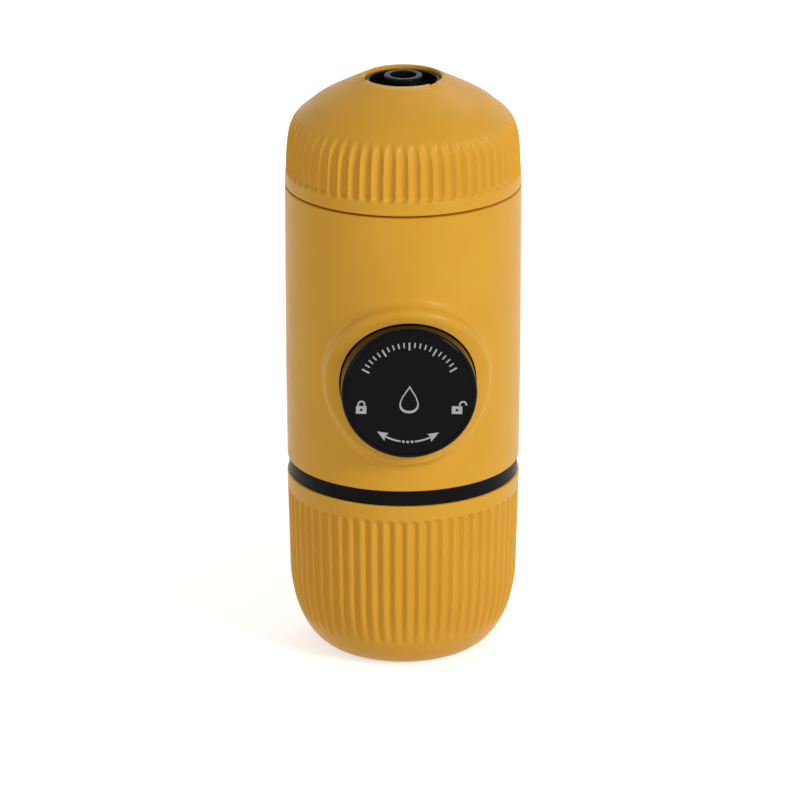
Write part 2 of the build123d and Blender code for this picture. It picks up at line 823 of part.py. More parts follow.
liner_bore = brew_neck_radius + thread_gap
with BuildPart() as outlet_head_liner:
    with BuildSketch(Plane.XZ):
        block(liner_bore, head_inner, head_low, liner_web_top)
        block(liner_bore, shell_inner - moving_gap, head_z - liner_skirt, head_low)
        block(funnel_radius, head_inner, liner_web_z, liner_web_top)
    revolve(axis=Axis.Z)
outlet_head_liner.part.label = "outlet_head_liner"
export_step(outlet_head_liner.part, "parts/outlet_head_liner.step")

dome_start = (body_radius - wall_draft, top_z - dome_drop)
flute_axis_radius = body_radius + head_flute_radius - head_flute_depth
flute_low = head_z + head_plain_rim + head_flute_radius

with BuildPart() as head_flute:
    with BuildLine(Plane.XZ):
        flute_wall = Line(
            (flute_axis_radius, flute_low), (flute_axis_radius - wall_draft, dome_start[1])
        )
        JernArc(flute_wall @ 1, flute_wall % 1, head_flute_bend, head_flute_sweep)
    with BuildSketch(Plane(origin=flute_wall @ 0, z_dir=flute_wall % 0)):
        Circle(head_flute_radius)
    sweep()
    with Locations(flute_wall @ 0):
        Sphere(head_flute_radius)

with BuildPart() as outlet_head_shell:
    with BuildSketch(Plane.XZ):
        with BuildLine():
            Line((0, head_low), (body_radius - edge_round, head_low))
            Line((body_radius - edge_round, head_low), (body_radius, head_low + edge_round))
            Line((body_radius, head_low + edge_round), dome_start)
            Spline(
                dome_start,
                (body_radius - shoulder_inset, top_z - shoulder_drop),
                (body_radius - crown_inset, top_z - crown_drop),
                (outlet_hole_radius + outlet_rim_round, top_z),
                tangents=[(-wall_draft, dome_drop - shoulder_drop), (-1, 0.42)],
            )
            Line((outlet_hole_radius + outlet_rim_round, top_z),
                 (outlet_hole_radius, top_z - outlet_rim_round))
            Line((outlet_hole_radius, top_z - outlet_rim_round),
                 (0, top_z - outlet_rim_round))
            Line((0, top_z - outlet_rim_round), (0, head_low))
        make_face()
    revolve(axis=Axis.Z)
    with BuildSketch(Plane.XZ):
        with BuildLine():
            Polyline(
                (0, head_low),
                (head_inner, head_low),
                (head_inner, liner_web_top),
                (head_inner - head_corner_width, liner_web_top + head_corner_height),
                (outlet_hole_radius + collar_wall, top_z - collar_depth),
                (outlet_hole_radius, top_z - collar_depth),
                (outlet_hole_radius, top_z),
                (0, top_z),
                close=True,
            )
        make_face()
    revolve(axis=Axis.Z, mode=Mode.SUBTRACT)
    with PolarLocations(0, flute_count, start_angle=180 / flute_count - 90):
        add(head_flute.part, mode=Mode.SUBTRACT)
    with BuildSketch(Plane.XY.offset(top_z - collar_depth)):
        with PolarLocations(outlet_hole_radius, notch_count, start_angle=notch_angle):
            Rectangle(2 * notch_depth, notch_width)
    extrude(amount=collar_depth, mode=Mode.SUBTRACT)
outlet_head_shell.part.label = "outlet_head_shell"
export_step(outlet_head_shell.part, "parts/outlet_head_shell.step")

with BuildPart() as outlet_nozzle:
    with BuildSketch(Plane.XZ):
        block(funnel_radius, nozzle_radius, liner_web_top, nozzle_rim)
        block(spout_bore_radius, nozzle_radius, nozzle_z, nozzle_top)
        block(spout_bore_radius, spout_radius, nozzle_z, top_z + spout_rise)
    revolve(axis=Axis.Z)
    with BuildSketch(Plane.XY.offset(nozzle_top)):
        Rectangle(2 * (spout_bore_radius + bridge_root), bridge_width)
        Circle(bridge_pin_radius)
    extrude(amount=bridge_thickness)
    with BuildSketch(Plane.XY.offset(nozzle_rim - nozzle_lug_height)):
        with PolarLocations(nozzle_radius, notch_count, start_angle=notch_angle):
            Rectangle(2 * (notch_depth - 2 * fit_gap), notch_width - 4 * fit_gap)
    extrude(amount=nozzle_lug_height)
outlet_nozzle.part.label = "outlet_nozzle"
export_step(outlet_nozzle.part, "parts/outlet_nozzle.step")
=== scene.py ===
# %% [markdown]
# # Dressing a handheld espresso maker
# The machine stands closed on its drinking cup: a fluted cup below, a black band, a plain body
# with a round pump knob, and a fluted outlet head with a black spout on top. The imported CAD model
# is the fixed frame. Most of its pieces keep their shape and only get a finish. Outlet head, cup
# and nozzle are modelled again as finer meshes, because the softness of their moulded edges
# carries the look, and two springs are wound again as fine coils. The knob's printed marks and
# the screw threads are added to what is there.

import math

import bpy
import numpy as np
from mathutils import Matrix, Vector
from mathutils.geometry import interpolate_bezier


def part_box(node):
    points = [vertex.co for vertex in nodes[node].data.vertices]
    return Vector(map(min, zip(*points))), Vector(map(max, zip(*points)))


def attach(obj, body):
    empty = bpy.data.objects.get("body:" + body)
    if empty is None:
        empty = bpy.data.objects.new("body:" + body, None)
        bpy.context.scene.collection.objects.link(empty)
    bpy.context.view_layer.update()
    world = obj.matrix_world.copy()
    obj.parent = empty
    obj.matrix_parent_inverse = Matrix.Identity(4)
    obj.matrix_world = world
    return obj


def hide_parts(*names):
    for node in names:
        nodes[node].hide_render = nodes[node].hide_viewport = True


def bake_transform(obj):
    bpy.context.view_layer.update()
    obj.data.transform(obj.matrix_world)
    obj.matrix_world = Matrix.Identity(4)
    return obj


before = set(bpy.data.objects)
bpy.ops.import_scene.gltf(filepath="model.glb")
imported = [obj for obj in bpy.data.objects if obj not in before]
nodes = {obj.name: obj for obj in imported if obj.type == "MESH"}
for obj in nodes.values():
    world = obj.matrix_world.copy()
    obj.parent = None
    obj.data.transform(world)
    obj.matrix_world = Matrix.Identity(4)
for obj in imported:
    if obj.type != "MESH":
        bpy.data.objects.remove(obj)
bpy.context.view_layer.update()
MM = 0.001

# %% [markdown]
# ## The camera
# A long lens from well back keeps the sides of the machine nearly parallel. Looking down by about
# twenty degrees turns the seam and the band into ellipses and opens the view into the outlet.
# A camera can be aimed with a constraint, but plain angles are easier to read and to repeat.

# %% Place the camera
# Millimetres for the lens and the place, degrees for the two turns.
SENSOR_WIDTH = 36
LENS_LENGTH = 246.8
CAMERA_PLACE = (-58.1, -1370.8, 554.4)
LOOKS_DOWN = 19.549
LOOKS_RIGHT = 2.392


def new_object(name, data):
    """A new object that holds the data, linked into the scene."""
    made = bpy.data.objects.new(name, data)
    bpy.context.scene.collection.objects.link(made)
    return made


camera_data = bpy.data.cameras.new("camera")
camera_data.sensor_width = SENSOR_WIDTH
camera_data.lens = LENS_LENGTH
camera = new_object("camera", camera_data)
camera.location = Vector(CAMERA_PLACE) * MM
camera.rotation_euler = (math.radians(90 - LOOKS_DOWN), 0, math.radians(-LOOKS_RIGHT))
bpy.context.scene.camera = camera
bpy.context.scene.view_settings.view_transform = "Standard"
print("camera:", camera_data.lens, "mm lens,", round(camera.location.length, 2), "m away")

# %% [markdown]
# ## Colours and shader nodes
# Colours are written as sRGB hex values, because that is how they are matched, and one
# function turns them into the linear values that shaders add up. A second function adds any kind
# of shader node with its settings and links, so every material below reads as a short list.

# %% Helpers for materials
NOISE_LOW, NOISE_HIGH = 0.3, 0.7  # the noise seldom goes beyond these two
MIX_FIRST, MIX_SECOND, MIX_RESULT = 6, 7, 2  # the colour sockets of the Mix node


def linear(hex_colour):
    """The linear colour of an sRGB hex value such as D9A33B."""
    values = [int(hex_colour[i:i + 2], 16) / 255 for i in (0, 2, 4)]
    return [v / 12.92 if v <= 0.04045 else ((v + 0.055) / 1.055) ** 2.4 for v in values] + [1.0]


def add_node(tree, kind, settings=None, links=None):
    """Adds a shader node: settings are sockets or properties, links are sockets to fill."""
    node = tree.nodes.new(kind)
    for name, value in (settings or {}).items():
        if isinstance(name, int) or name in node.inputs:
            node.inputs[name].default_value = value
        else:
            setattr(node, name, value)
    for name, output in (links or {}).items():
        tree.links.new(output, node.inputs[name])
    return node


def new_material(name, settings):
    """A material with a Principled shader; returns it with its tree, shader and place."""
    material = bpy.data.materials.new(name)
    material.use_nodes = True
    tree = material.node_tree
    shader = tree.nodes["Principled BSDF"]
    for socket, value in settings.items():
        shader.inputs[socket].default_value = value
    place = add_node(tree, "ShaderNodeTexCoord").outputs["Object"]
    return material, tree, shader, place


def vary(tree, place, size_mm, low=0.0, high=1.0, detail=2.0, stretch=None):
    """Noise whose spots are size_mm wide, spread from low to high."""
    if stretch:
        mapping = add_node(tree, "ShaderNodeMapping", {"Scale": stretch}, {"Vector": place})
        place = mapping.outputs[0]
    noise = add_node(
        tree, "ShaderNodeTexNoise",
        {"Scale": 1 / (size_mm * MM), "Detail": detail}, {"Vector": place},
    )
    return add_node(
        tree, "ShaderNodeMapRange",
        {"From Min": NOISE_LOW, "From Max": NOISE_HIGH, "To Min": low, "To Max": high},
        {"Value": noise.outputs[0]},
    ).outputs[0]


def tint(tree, shader, factor, first, second):
    """Drives the shader's base colour between two hex colours."""
    blend = add_node(
        tree, "ShaderNodeMix",
        {"data_type": "RGBA", MIX_FIRST: linear(first), MIX_SECOND: linear(second)}, {0: factor},
    )
    tree.links.new(blend.outputs[MIX_RESULT], shader.inputs["Base Color"])


def relief(tree, shader, height, depth_mm, strength):
    """Bumps the surface by a height field that is depth_mm deep."""
    bump = add_node(
        tree, "ShaderNodeBump",
        {"Strength": strength, "Distance": depth_mm * MM}, {"Height": height},
    )
    tree.links.new(bump.outputs[0], shader.inputs["Normal"])


# %% [markdown]
# ## Yellow ABS
# The casing is injection moulded ABS with a fine spark-eroded texture, which gives a soft satin
# sheen with no sharp reflections. It could be painted flat, but a slight drift of colour and of
# roughness keeps large plain areas from looking like paper. The specular level is well below its
# default of 0.5, here and on the blacks, because the large pale surroundings would otherwise lie
# over the colour like a veil.

# %% Yellow ABS, moulded with a satin texture
yellow_abs, tree, shader, place = new_material(
    "yellow_abs_satin", {"IOR": 1.53, "Specular IOR Level": 0.16}
)
tint(tree, shader, vary(tree, place, size_mm=18), "E2A834", "DEA330")
tree.links.new(vary(tree, place, size_mm=6, low=0.33, high=0.40), shader.inputs["Roughness"])
# The real texture is about 0.05 mm wide; it is drawn at 0.35 mm so that it shows at all.
relief(tree, shader, vary(tree, place, size_mm=0.35, detail=1.0), depth_mm=0.012, strength=0.35)
print("material:", yellow_abs.name)

# %% [markdown]
# ## Black plastics
# Three blacks do different jobs. The knob is polished ABS, which mirrors the room. The tank is
# black PP with a satin skin. The nozzle and the inner parts are glass-filled nylon, which is a
# little greyer. Real black plastic is never pure black, so each colour stays a little above it.

# %% Polished black ABS, satin black PP and black nylon
gloss_black, tree, shader, place = new_material(
    "black_abs_polished", {"IOR": 1.53, "Specular IOR Level": 0.06}
)
tint(tree, shader, vary(tree, place, size_mm=9), "0A0A0B", "0D0D0F")
tree.links.new(vary(tree, place, size_mm=4, low=0.07, high=0.12), shader.inputs["Roughness"])
# A polished moulding is never quite flat: shallow waves of 5 mm bend what it mirrors.
relief(tree, shader, vary(tree, place, size_mm=5), depth_mm=0.01, strength=0.15)

satin_black, tree, shader, place = new_material(
    "black_pp_satin", {"IOR": 1.49, "Specular IOR Level": 0.05}
)
tint(tree, shader, vary(tree, place, size_mm=12), "0B0B0C", "0F0F10")
tree.links.new(vary(tree, place, size_mm=3, low=0.30, high=0.40), shader.inputs["Roughness"])
# The skin of this PP, and of the nylon below, is really finer; it is drawn so that it shows.
relief(tree, shader, vary(tree, place, size_mm=0.4, detail=1.0), depth_mm=0.01, strength=0.3)

black_nylon, tree, shader, place = new_material(
    "black_nylon_moulded", {"IOR": 1.53, "Specular IOR Level": 0.06}
)
tint(tree, shader, vary(tree, place, size_mm=6), "101113", "17181A")
tree.links.new(vary(tree, place, size_mm=2, low=0.14, high=0.22), shader.inputs["Roughness"])
relief(tree, shader, vary(tree, place, size_mm=0.5), depth_mm=0.015, strength=0.3)
print("materials:", gloss_black.name, satin_black.name, black_nylon.name)

# %% [markdown]
# ## Silicone, steel and ink
# Seals and the suction tube are pale silicone: soft, a little translucent and slightly dusty.
# The sieves, screws and springs are stainless steel with the fine drawn lines of sheet and wire.
# The marks on the knob are pad-printed with a pale grey ink, which is duller than the plastic.

# %% Silicone, stainless steel and printing ink
silicone, tree, shader, place = new_material(
    "silicone_translucent",
    {"IOR": 1.41, "Subsurface Weight": 0.2, "Subsurface Radius": (0.004, 0.004, 0.0035)},
)
tint(tree, shader, vary(tree, place, size_mm=5), "BDBCB6", "CBCAC4")
tree.links.new(vary(tree, place, size_mm=1.5, low=0.42, high=0.58), shader.inputs["Roughness"])
relief(tree, shader, vary(tree, place, size_mm=0.6), depth_mm=0.02, strength=0.3)

# Real drawn lines lie about 0.05 mm apart; they are spread wider here, so that they show.
stainless, tree, shader, place = new_material("stainless_steel_drawn", {"Metallic": 1.0})
tint(tree, shader, vary(tree, place, size_mm=3), "BEBDBA", "CDCCC9")
streaks = vary(tree, place, size_mm=0.5, low=0.20, high=0.34, stretch=(0.1, 1, 1))
tree.links.new(streaks, shader.inputs["Roughness"])
drawn_lines = vary(tree, place, size_mm=0.3, stretch=(0.08, 1, 1))
relief(tree, shader, drawn_lines, depth_mm=0.008, strength=0.3)

grey_ink, tree, shader, place = new_material("pad_print_ink_grey", {"IOR": 1.5})
tint(tree, shader, vary(tree, place, size_mm=0.8), "A2A2A7", "B4B4B9")
tree.links.new(vary(tree, place, size_mm=0.5, low=0.5, high=0.62), shader.inputs["Roughness"])
print("materials:", silicone.name, stainless.name, grey_ink.name)

# %% [markdown]
# ## Finishes for the CAD pieces
# Every CAD node keeps its mesh and trades its plain colour for one of the finishes. The table
# follows the record: the piece's job decides what it is made of.

# %% Give every CAD node its finish
FINISHES = {
    yellow_abs: ["body_shell", "drinking_cup", "outlet_head_shell"],
    satin_black: ["water_tank"],
    gloss_black: ["knob_cap", "knob_face"],
    black_nylon: [
        "brew_head", "pump_cylinder", "knob_guide", "tank_socket", "outlet_head_liner",
        "outlet_nozzle", "suction_strainer", "piston", "outlet_valve_poppet", "thrust_washer",
    ],
    silicone: [
        "brew_gasket", "head_gasket", "tank_gasket", "piston_seals", "inlet_valve",
        "vent_valve", "suction_tube",
    ],
    stainless: [
        "shower_screen", "outlet_screen", "filter_basket", "shower_screw", "guide_screws",
        "chassis_screws", "knob_screw", "return_spring", "outlet_valve_spring",
    ],
}
for finish, names in FINISHES.items():
    for name in names:
        nodes[name].data.materials.clear()
        nodes[name].data.materials.append(finish)
print("dressed:", sum(len(names) for names in FINISHES.values()), "nodes")

# %% [markdown]
# ## Places from the frame
# The finer meshes have to sit exactly where the CAD pieces are, so their places are read from
# the boxes of those pieces, and only the sizes inside a piece are written here, in millimetres.

# %% Read the main places from the frame
HEAD_LOW, TOP_Z = (corner.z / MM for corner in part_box("outlet_head_shell"))
HEAD_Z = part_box("body_shell")[1].z / MM
BODY_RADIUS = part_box("body_shell")[1].x / MM
CUP_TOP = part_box("drinking_cup")[1].z / MM
NOZZLE_LOW, SPOUT_TOP = (corner.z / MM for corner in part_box("outlet_nozzle"))
face_low, face_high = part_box("knob_face")
KNOB_Z = (face_low.z + face_high.z) / 2 / MM
FACE_Y = face_low.y / MM
print("seam at", round(HEAD_Z, 2), "top at", round(TOP_Z, 2), "knob at", round(KNOB_Z, 2))

# %% [markdown]
# ## Turned shapes
# Head, cup and nozzle are all turned about the body's axis, so one function makes them: it spins
# a half section and, where asked, carves it by moving points along the radius. A Screw modifier
# could do the spin, but not the flutes. Small helpers draw a section as lines and curves, and one
# of them rounds the nozzle's corners, because a moulded edge is never sharp and its small radius
# is what catches the light.

# %% Helpers for turned meshes
FLUTES = 60
CUTS_PER_FLUTE = 12
SMOOTH_ANGLE = 35


def rounded(corners, steps=4):
    """A closed section from (radius, height, rounding) corners, with each corner rounded."""
    points = []
    for i, (x, y, size) in enumerate(corners):
        here = Vector((x, y))
        before = Vector(corners[i - 1][:2]) - here
        after = Vector(corners[(i + 1) % len(corners)][:2]) - here
        if size == 0:
            points.append((x, y))
            continue
        turn_angle = before.angle(after)
        reach = size / math.tan(turn_angle / 2)
        start, end = here + before.normalized() * reach, here + after.normalized() * reach
        # With grips of this length a cubic curve follows a circle.
        grip = 4 / 3 * math.tan((math.pi - turn_angle) / 4) * size
        arc = interpolate_bezier(
            start.to_3d(), (start - before.normalized() * grip).to_3d(),
            (end - after.normalized() * grip).to_3d(), end.to_3d(), steps + 1,
        )
        points += [(p.x, p.y) for p in arc]
    return points


def line_to(points, end, steps):
    """Adds evenly spaced points from the last one to the end."""
    start = points[-1]
    for i in range(1, steps + 1):
        points.append(tuple(a + (b - a) * i / steps for a, b in zip(start, end)))


def curve_to(points, first_grip, second_grip, end, steps):
    """Adds points along a cubic curve from the last one to the end."""
    corners = [Vector(p).to_3d() for p in (points[-1], first_grip, second_grip, end)]
    points += [(p.x, p.y) for p in interpolate_bezier(*corners, steps + 1)[1:]]


def ellipse_to(points, middle, radii, start_deg, end_deg, steps):
    """Adds points along an arc of an ellipse, without its first one."""
    for i in range(1, steps + 1):
        angle = math.radians(start_deg + (end_deg - start_deg) * i / steps)
        x, y = radii[0] * math.cos(angle), radii[1] * math.sin(angle)
        points.append((middle[0] + x, middle[1] + y))


def build(name, points_mm, faces, finish, body=None, slot=None, smooth_angle=SMOOTH_ANGLE):
    """A mesh piece in metres with its finish, riding on a body where one is named."""
    mesh = bpy.data.meshes.new(name)
    mesh.from_pydata((np.asarray(points_mm) * MM).tolist(), [], faces)
    mesh.materials.append(finish)
    mesh.shade_smooth()
    mesh.set_sharp_from_angle(angle=math.radians(smooth_angle))
    piece = new_object(name, mesh)
    if body:
        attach(piece, body)
    return piece


def turn(section, segments, carve=None, capped=False):
    """Points and faces of a section spun about the body's axis; caps close an open section."""
    radius, height = (np.repeat(np.array(v)[:, None], segments, 1) for v in zip(*section))
    angle = np.repeat(np.arange(segments)[None, :] * 2 * math.pi / segments, len(section), 0)
    if carve:
        radius = radius - carve(angle, radius, height)
    points = np.stack([radius * np.cos(angle), radius * np.sin(angle), height], -1)
    index = np.arange(radius.size).reshape(radius.shape)
    faces = np.stack([
        index, np.roll(index, -1, 1), np.roll(index, (-1, -1), (0, 1)), np.roll(index, -1, 0),
    ], -1)
    if not capped:
        return points.reshape(-1, 3), faces.reshape(-1, 4).tolist()
    caps = [index[0, ::-1].tolist(), index[-1].tolist()]
    return points.reshape(-1, 3), faces[:-1].reshape(-1, 4).tolist() + caps


def off_groove(angle):
    """Angle to the middle of the nearest groove; a rib, not a groove, faces the front."""
    pitch = 2 * math.pi / FLUTES
    return np.abs((angle + math.pi / 2) % pitch - pitch / 2)


# %% [markdown]
# ## Drinking cup
# The cup is a thick-walled bowl with an elliptical corner. Sixty broad convex ribs run down its
# side. The grooves between them start with a round end below the plain rim and grow shallow
# towards the foot. Cutting sixty grooves with booleans would leave hard ridges, so the wall is
# one dense turned mesh whose points are pressed inwards by a smooth function instead.

# %% Draw the cup's half section
CUP_CORNER = 23.0  # height of the rounded corner, outside
CUP_INNER_CORNER = CUP_CORNER + 0.4
CUP_FOOT = 17.5  # radius of the flat foot
CUP_WALL_RADIUS = BODY_RADIUS - 0.8
CUP_MOUTH = BODY_RADIUS - 0.15
CUP_WALL = 2.1
CUP_FLOOR = 3.2
CUP_EDGE = 0.4
CUP_CAP = 2.0  # radius of the discs that close foot and floor
GROOVE_TOP = CUP_TOP - 5.35

cup_section = [(CUP_CAP, 0.0)]
line_to(cup_section, (CUP_FOOT, 0.0), steps=3)
outer_radii = (CUP_WALL_RADIUS - CUP_FOOT, CUP_CORNER)
ellipse_to(cup_section, (CUP_FOOT, CUP_CORNER), outer_radii, 270, 360, steps=44)
slope = (CUP_MOUTH - CUP_WALL_RADIUS) / (CUP_TOP - CUP_CORNER)
# The rows lie closest together where the grooves have their round ends.
for height, steps in ((GROOVE_TOP - 1, 32), (GROOVE_TOP + 2, 12), (CUP_TOP - CUP_EDGE, 4)):
    line_to(cup_section, (CUP_WALL_RADIUS + slope * (height - CUP_CORNER), height), steps)
edge_radii = (CUP_EDGE, CUP_EDGE)
ellipse_to(cup_section, (CUP_MOUTH - CUP_EDGE, CUP_TOP - CUP_EDGE), edge_radii, 0, 90, steps=4)
inner_edge = CUP_MOUTH - CUP_WALL + CUP_EDGE
line_to(cup_section, (inner_edge, CUP_TOP), steps=1)
ellipse_to(cup_section, (inner_edge, CUP_TOP - CUP_EDGE), edge_radii, 90, 180, steps=4)
line_to(cup_section, (CUP_WALL_RADIUS - CUP_WALL, CUP_INNER_CORNER), steps=6)
inner_radii = (CUP_WALL_RADIUS - CUP_WALL - CUP_FOOT, CUP_INNER_CORNER - CUP_FLOOR)
ellipse_to(cup_section, (CUP_FOOT, CUP_INNER_CORNER), inner_radii, 0, -90, steps=24)
line_to(cup_section, (CUP_CAP, CUP_FLOOR), steps=3)
print("cup section:", len(cup_section), "points")

# %% Press in the grooves and make the cup
GROOVE_DEPTH = 1.0
GROOVE_NARROWING = 1.15  # above 1 it makes the grooves narrower than the ribs
GROOVE_FADE = 19.0  # height at which the grooves start to grow shallow
GROOVE_END = 8.5  # height at which they have run out
SKIN = 0.6  # what lies further than this outside the inner wall is carved
SKIN_SHIFT = 14.0  # towards the foot that limit moves inwards by this, with the corner


def cup_flutes(angle, radius, height):
    """Depth of the cup's grooves: round at the top, running out towards the foot."""
    aside = radius * off_groove(angle)
    above = np.clip(height - GROOVE_TOP, 0, None)
    half_pitch = radius * math.pi / FLUTES
    reach = np.clip(np.hypot(aside, above) / half_pitch, 0, 1)
    fall = np.clip((GROOVE_FADE - height) / (GROOVE_FADE - GROOVE_END), 0, 1)
    # On the corner this takes in the inner face too, which is pressed in with the outer one.
    carved = radius > CUP_WALL_RADIUS - CUP_WALL + SKIN - SKIN_SHIFT * fall
    wave = (0.5 + 0.5 * np.cos(math.pi * reach)) ** GROOVE_NARROWING
    return GROOVE_DEPTH * np.sqrt(1 - fall ** 2) * wave * carved


cup = build(
    "drinking_cup_ribbed", *turn(cup_section, CUTS_PER_FLUTE * FLUTES, cup_flutes, capped=True),
    yellow_abs, "cup", "yellow_plastic",
)
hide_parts("drinking_cup")
print("cup:", len(cup.data.polygons), "faces")

# %% [markdown]
# ## Outlet head
# The head is a thin dome over a short upright wall. Its flutes are the other way round from the
# cup's: wide round grooves with narrow ribs between them. Each groove starts with a round bowl
# above the seam and runs out in a point where the dome turns inwards. Two notches in the
# hole's rim take the lugs of the nozzle. All of it is again one turned mesh.

# %% Draw the head's half section
HEAD_WALL = 2.4
HOLE_RADIUS = 10.0
WEB_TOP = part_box("outlet_head_liner")[1].z / MM
COLLAR_DEPTH = 5.5
COLLAR_WALL = 1.9
RIM_ROUNDING = 0.5
RIM_GRIP = 0.22  # from the corner to the grips of a quarter circle of that rounding
CEILING_CORNER = (3.0, 4.6)  # inwards from the inner wall, and up from the liner's web
SEAM_STEP = 0.4  # height of the rebate in the low edge, whose shadow draws the seam
# The low edge: inwards from the body's radius, and up from the head's low end.
LOW_EDGE = (
    (1.3, 0), (1.1, SEAM_STEP), (0.25, SEAM_STEP), (0.06, SEAM_STEP + 0.1), (0, SEAM_STEP + 0.3)
)
# The dome: inwards from the body's radius, and down from the top.
WALL_END = (0.3, 23.1)
SHOULDER = ((0.55, 10.5), (2.75, 11.1), (6.75, 7.5))
CROWN = ((8.35, 6.1), (11.9, 4.15))


def on_dome(inwards, down):
    """A point of the dome as radius and height."""
    return BODY_RADIUS - inwards, TOP_Z - down


head_section = [(BODY_RADIUS - inwards, HEAD_LOW + up) for inwards, up in LOW_EDGE]
line_to(head_section, on_dome(*WALL_END), steps=18)
curve_to(head_section, *(on_dome(*point) for point in SHOULDER), steps=52)
rim_start = (HOLE_RADIUS + RIM_ROUNDING, TOP_Z)
curve_to(head_section, *(on_dome(*point) for point in CROWN), rim_start, steps=14)
outside_rows = len(head_section)
curve_to(
    head_section, (HOLE_RADIUS + RIM_GRIP, TOP_Z), (HOLE_RADIUS, TOP_Z - RIM_GRIP),
    (HOLE_RADIUS, TOP_Z - RIM_ROUNDING), steps=5,
)
inner_radius = BODY_RADIUS - HEAD_WALL
for corner in (
    (HOLE_RADIUS, TOP_Z - COLLAR_DEPTH), (HOLE_RADIUS + COLLAR_WALL, TOP_Z - COLLAR_DEPTH),
    (inner_radius - CEILING_CORNER[0], WEB_TOP + CEILING_CORNER[1]),
    (inner_radius, WEB_TOP), (inner_radius, HEAD_LOW),
):
    line_to(head_section, corner, steps=2)
on_outside = (np.arange(len(head_section)) < outside_rows)[:, None]
print("head section:", len(head_section), "points,", outside_rows, "of them outside")

# %% Carve flutes and notches and make the head
FLUTE_RADIUS = 1.15
FLUTE_DEPTH = 1.05
FLUTE_LOW = HEAD_Z + 5.3
FLUTE_FADE = HEAD_Z + 12.5
FLUTE_END = HEAD_Z + 19.3
FADE_CURVE = 2.2  # the higher, the later the flutes grow shallow
END_SLOPE = 0.4  # how fast they rise clear of the surface above their end
FLUTE_EDGE = 0.1  # softness of the ridges beside a flute
NOTCH_DEPTH = 1.1
NOTCH_WIDTH = 2.6
LUG_ANGLES = (math.radians(-46), math.radians(194))


def at_lugs(angle, radius, width):
    """Whether points lie within the width of one of the two lugs."""
    turns = [np.abs((angle - lug + math.pi) % (2 * math.pi) - math.pi) for lug in LUG_ANGLES]
    return np.minimum(*turns) * radius < width / 2


def head_carving(angle, radius, height):
    """Depth of the head's grooves, and of the notches in its hole as negative depth."""
    aside = radius * off_groove(angle)
    below = np.clip(FLUTE_LOW - height, 0, None)
    fade = np.clip((height - FLUTE_FADE) / (FLUTE_END - FLUTE_FADE), 0, 1)
    dent = FLUTE_DEPTH * (1 - fade ** FADE_CURVE)
    dent -= (aside ** 2 + below ** 2) / (2 * FLUTE_RADIUS)
    dent -= END_SLOPE * np.clip(height - FLUTE_END, 0, None)
    groove = (dent + np.sqrt(dent ** 2 + FLUTE_EDGE ** 2)) / 2 * on_outside
    notch = at_lugs(angle, radius, NOTCH_WIDTH) & (radius < HOLE_RADIUS + NOTCH_DEPTH)
    return np.where(notch, radius - HOLE_RADIUS - NOTCH_DEPTH, groove)


head = build(
    "outlet_head_fluted", *turn(head_section, CUTS_PER_FLUTE * FLUTES, head_carving),
    yellow_abs, "outlet_head", "yellow_plastic",
)
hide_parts("outlet_head_shell")
print("head:", len(head.data.polygons), "faces")

# %% [markdown]
# ## Outlet nozzle
# The nozzle is one black moulding: a thin funnel wall that fills the hole in the head, a plate
# across it and the short spout in the middle. Only its rims show, as thin grey glints, so what
# matters is the rounding of each edge. A small bridge with a pin crosses the bottom of the spout.

# %% Model the nozzle
NOZZLE_RADIUS = 9.9
NOZZLE_RIM = TOP_Z - 0.9
NOZZLE_BORE = 8.8
NOZZLE_CUTS = 360
PLATE_TOP = TOP_Z - 4.2
PLATE_LOW = PLATE_TOP - 2.2
SPOUT_RADIUS = 5.0
SPOUT_BORE = 3.4
LUG_LOW = NOZZLE_RIM - 3.0
LUG_REACH = 0.95
LUG_WIDTH = 2.2
LUG_STEP = 0.1  # height within which the wall steps out to a lug
LUG_SKIN = 0.3  # only this outermost layer of the nozzle moves


def nozzle_lugs(angle, radius, height):
    """Pushes the rim outwards at the two lugs."""
    lugs = at_lugs(angle, radius, LUG_WIDTH) & (height > LUG_LOW - LUG_STEP / 2)
    return np.where(lugs & (radius > NOZZLE_RADIUS - LUG_SKIN), -LUG_REACH, 0.0)


nozzle_section = rounded([
    (NOZZLE_RADIUS, NOZZLE_LOW, 0.1), (NOZZLE_RADIUS, LUG_LOW - LUG_STEP, 0),
    (NOZZLE_RADIUS, LUG_LOW, 0), (NOZZLE_RADIUS, NOZZLE_RIM, 0.35),
    (NOZZLE_BORE, NOZZLE_RIM, 0.3), (NOZZLE_BORE, PLATE_TOP, 0.4),
    (SPOUT_RADIUS, PLATE_TOP, 0.5), (SPOUT_RADIUS, SPOUT_TOP, 0.45),
    (SPOUT_BORE, SPOUT_TOP, 0.4), (SPOUT_BORE, PLATE_LOW, 0.2),
    (NOZZLE_BORE, PLATE_LOW, 0.2), (NOZZLE_BORE, NOZZLE_LOW, 0.1),
])
nozzle = build(
    "outlet_nozzle_rounded", *turn(nozzle_section, NOZZLE_CUTS, nozzle_lugs),
    black_nylon, "outlet_head", "black_plastic",
)
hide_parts("outlet_nozzle")
print("nozzle:", len(nozzle.data.polygons), "faces")

# %% Model the bridge and its pin
BRIDGE_WIDTH = 0.9
BRIDGE_TOP = PLATE_TOP + 1.0
BRIDGE_BEVEL = 0.15
BRIDGE_SINK = 0.2  # how far its ends go into the wall of the spout
PIN_RADIUS = 0.9
PIN_SINK = 0.3  # how far the pin goes below the bridge
PIN_RISE = 0.3  # how far its rounded top stands above the bridge
PIN_CUTS = 48

